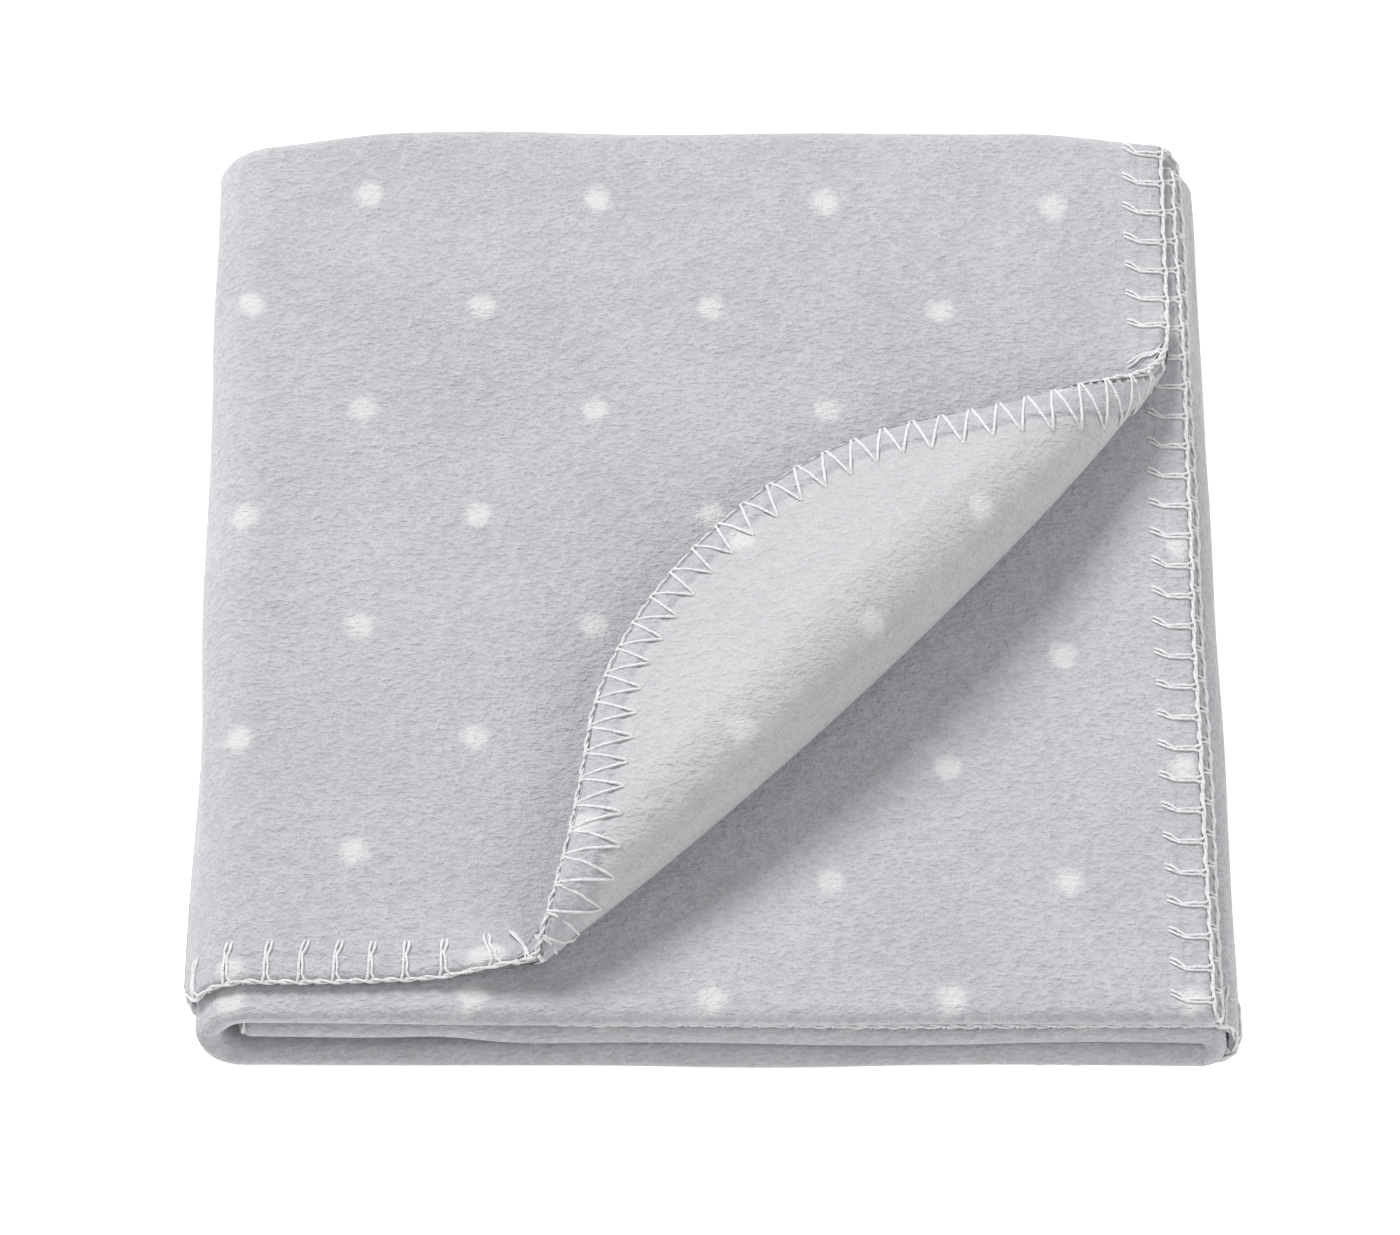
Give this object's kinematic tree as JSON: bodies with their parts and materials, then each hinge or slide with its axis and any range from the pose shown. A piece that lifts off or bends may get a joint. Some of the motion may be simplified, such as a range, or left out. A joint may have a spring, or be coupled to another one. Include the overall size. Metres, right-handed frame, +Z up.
{
  "type": "folded throw blanket",
  "caption": "Small dotted fleece throw folded into a square nine-layer stack, blanket-stitched edges, one top corner turned back.",
  "frame": {"origin": "middle of the footprint, on the surface the throw rests on", "axes": "+X to the right, towards the open cut edges; +Y to the back, where the folds are; +Z up"},
  "size_m": [0.302, 0.29, 0.0686],
  "materials": {
    "fleece": "short-pile double-faced fleece, cool light grey with soft white dots",
    "yarn": "soft white sewing yarn, lightly twisted"
  },
  "bodies": {
    "base": {"base_back_fold": "fleece", "base_back_stitching": "yarn", "base_front_roll": "fleece", "base_front_stitching": "yarn", "base_inner_panel": "fleece", "base_middle_panel": "fleece", "base_outer_panel": "fleece", "right_fold_back_fold": "fleece", "right_fold_back_stitching": "yarn", "right_fold_front_roll": "fleece", "right_fold_front_stitching": "yarn", "right_fold_inner": "fleece", "right_fold_middle": "fleece", "right_fold_outer": "fleece", "tucked_back_fold": "fleece", "tucked_back_stitching": "yarn", "tucked_front_roll": "fleece", "tucked_front_stitching": "yarn", "tucked_inner_end_stitching": "yarn", "tucked_inner_panel": "fleece", "tucked_middle_end_stitching": "yarn", "tucked_middle_panel": "fleece", "tucked_outer_end_stitching": "yarn", "tucked_outer_panel": "fleece"},
    "left_fold": {"left_fold_back_fold": "fleece", "left_fold_back_stitching": "yarn", "left_fold_front_roll": "fleece", "left_fold_front_stitching": "yarn", "left_fold_inner": "fleece", "left_fold_middle": "fleece", "left_fold_outer": "fleece"},
    "cover": {"corner_curl": "fleece", "cover_back_fold": "fleece", "cover_back_stitching": "yarn", "cover_front_roll": "fleece", "cover_front_stitching": "yarn", "cover_inner_end_stitching": "yarn", "cover_inner_panel": "fleece", "cover_middle_end_stitching": "yarn", "cover_middle_panel": "fleece", "cover_outer_end_stitching": "yarn", "cover_outer_panel": "fleece"},
    "corner": {"corner_flap": "fleece", "corner_stitching": "yarn"}
  },
  "joints": [
    {"name": "left_fold_open", "type": "hinge", "parent": "base", "child": "left_fold", "pos_m": [-0.14593, 0, 0.00507], "axis": [0, -1, 0], "range_deg": [0, 60], "deforming": ["left_fold_back_fold", "left_fold_back_stitching", "left_fold_front_roll", "left_fold_front_stitching", "left_fold_inner", "left_fold_middle", "left_fold_outer"]},
    {"name": "cover_open", "type": "hinge", "parent": "left_fold", "child": "cover", "pos_m": [-0.14593, 0, 0.02953], "axis": [0, -1, 0], "range_deg": [0, 60]},
    {"name": "corner_lift", "type": "hinge", "parent": "cover", "child": "corner", "pos_m": [0.04315, -0.03776, 0.06483], "axis": [0.6895, 0.7243, 0], "range_deg": [0, 90], "deforming": ["corner_curl", "corner_stitching"]}
  ],
  "couplings": [
    {"joint": "cover_open", "follows": "left_fold_open", "ratio": 1}
  ]
}
